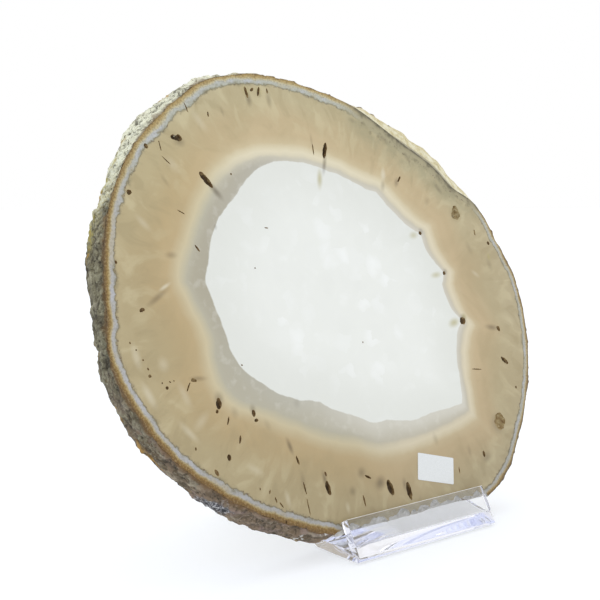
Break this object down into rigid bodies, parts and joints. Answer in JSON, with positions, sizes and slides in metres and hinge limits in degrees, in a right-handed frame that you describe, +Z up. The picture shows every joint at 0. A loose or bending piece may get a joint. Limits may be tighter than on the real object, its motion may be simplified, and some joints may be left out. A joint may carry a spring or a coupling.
{
  "type": "agate slice on clear stand",
  "caption": "Polished agate slice with a pale quartz centre and rough crust, leaning in a small clear display stand, with a blank paper sticker.",
  "frame": {"origin": "middle of the stand's ledge, on the flat underside that it rests on", "axes": "+X to the viewer's right along the stand, +Y from the polished face towards the back, +Z up"},
  "size_m": [0.1741, 0.0709, 0.1468],
  "materials": {
    "agate": "polished face with a rough natural crust round the edge",
    "clear_plastic": "clear, bent from one sheet",
    "paper": "matt white sticker"
  },
  "bodies": {
    "root": {"agate_slice": "agate", "display_stand": "clear_plastic", "paper_sticker": "paper"}
  },
  "joints": []
}
